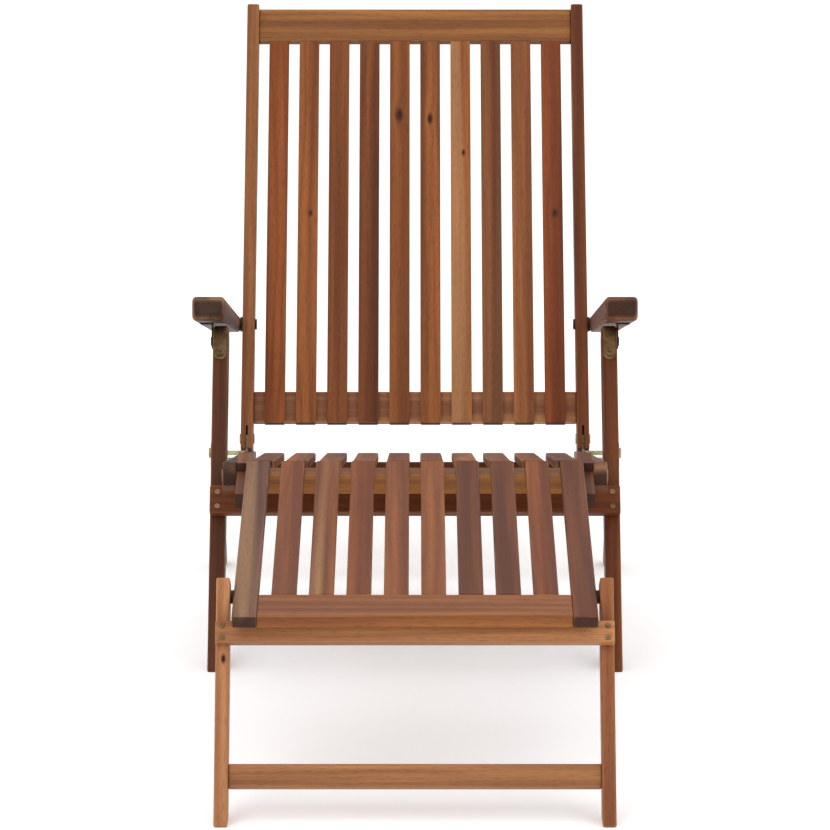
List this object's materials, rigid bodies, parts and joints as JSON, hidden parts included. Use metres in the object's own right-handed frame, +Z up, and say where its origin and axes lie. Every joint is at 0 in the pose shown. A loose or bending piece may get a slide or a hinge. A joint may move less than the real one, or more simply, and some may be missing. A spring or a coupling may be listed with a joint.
{
  "type": "folding deck chair",
  "caption": "Slatted wooden folding deck chair with a tall slatted back, armrests and a fold-out slatted footrest on its own legs.",
  "frame": {"origin": "on the floor, under the middle of the whole open chair", "axes": "+Y to the rear, +X across the chair, +Z up"},
  "size_m": [0.586, 1.6478, 0.7719],
  "materials": {
    "acacia": "oiled satin",
    "zinc_steel": "zinc plated",
    "bronzed_steel": "bronzed"
  },
  "bodies": {
    "seat": {"seat_rail_left": "acacia", "seat_rail_right": "acacia", "seat_cross_rails": "acacia", "hinge_plates": "zinc_steel", "seat_pivot_bolts": "zinc_steel", "seat_slat_1": "acacia", "seat_slat_2": "acacia", "seat_slat_3": "acacia", "seat_slat_4": "acacia", "seat_slat_5": "acacia", "seat_slat_6": "acacia", "seat_slat_7": "acacia", "seat_slat_8": "acacia", "seat_slat_9": "acacia", "seat_slat_10": "acacia"},
    "back": {"back_stile_left": "acacia", "back_stile_right": "acacia", "back_top_rail": "acacia", "back_lower_rail": "acacia", "back_slat_1": "acacia", "back_slat_2": "acacia", "back_slat_3": "acacia", "back_slat_4": "acacia", "back_slat_5": "acacia", "back_slat_6": "acacia", "back_slat_7": "acacia", "back_slat_8": "acacia", "back_slat_9": "acacia", "back_slat_10": "acacia"},
    "main_legs": {"main_leg_left": "acacia", "main_leg_right": "acacia", "main_cross_rail": "acacia", "post_straps": "bronzed_steel", "main_leg_screws": "bronzed_steel"},
    "armrests": {"armrest_left": "acacia", "armrest_right": "acacia", "arm_angles": "bronzed_steel", "arm_bolts": "bronzed_steel"},
    "rear_legs": {"rear_leg_left": "acacia", "rear_leg_right": "acacia", "rear_stretcher": "acacia"},
    "footrest": {"footrest_stile_left": "acacia", "footrest_stile_right": "acacia", "footrest_front_rail": "acacia", "footrest_rear_rail": "acacia", "footrest_cheeks": "acacia", "footrest_leg_bolts": "bronzed_steel", "footrest_slat_1": "acacia", "footrest_slat_2": "acacia", "footrest_slat_3": "acacia", "footrest_slat_4": "acacia", "footrest_slat_5": "acacia", "footrest_slat_6": "acacia", "footrest_slat_7": "acacia", "footrest_slat_8": "acacia"},
    "footrest_legs": {"footrest_leg_left": "acacia", "footrest_leg_right": "acacia", "footrest_cross_rail": "acacia", "footrest_stretcher": "acacia", "footrest_rail_screws": "bronzed_steel"}
  },
  "joints": [
    {"name": "back_fold", "type": "hinge", "parent": "seat", "child": "back", "pos_m": [0, 0.4398, 0.191], "axis": [1, 0, 0], "range_deg": [0, 100]},
    {"name": "main_leg_fold", "type": "hinge", "parent": "seat", "child": "main_legs", "pos_m": [0, 0.04072, 0.23933], "axis": [1, 0, 0], "range_deg": [0, 100]},
    {"name": "armrest_fold", "type": "hinge", "parent": "main_legs", "child": "armrests", "pos_m": [0, 0.13294, 0.38806], "axis": [1, 0, 0], "range_deg": [-100, 0]},
    {"name": "rear_leg_fold", "type": "hinge", "parent": "seat", "child": "rear_legs", "pos_m": [0, 0.3908, 0.181], "axis": [1, 0, 0], "range_deg": [-66, 0]},
    {"name": "footrest_fold", "type": "hinge", "parent": "seat", "child": "footrest", "pos_m": [0, -0.2312, 0.283], "axis": [1, 0, 0], "range_deg": [0, 80]},
    {"name": "footrest_leg_fold", "type": "hinge", "parent": "footrest", "child": "footrest_legs", "pos_m": [0, -0.68589, 0.23702], "axis": [1, 0, 0], "range_deg": [0, 120]}
  ],
  "couplings": [
    {"joint": "main_leg_fold", "follows": "back_fold", "ratio": 1},
    {"joint": "armrest_fold", "follows": "back_fold", "ratio": -1}
  ]
}
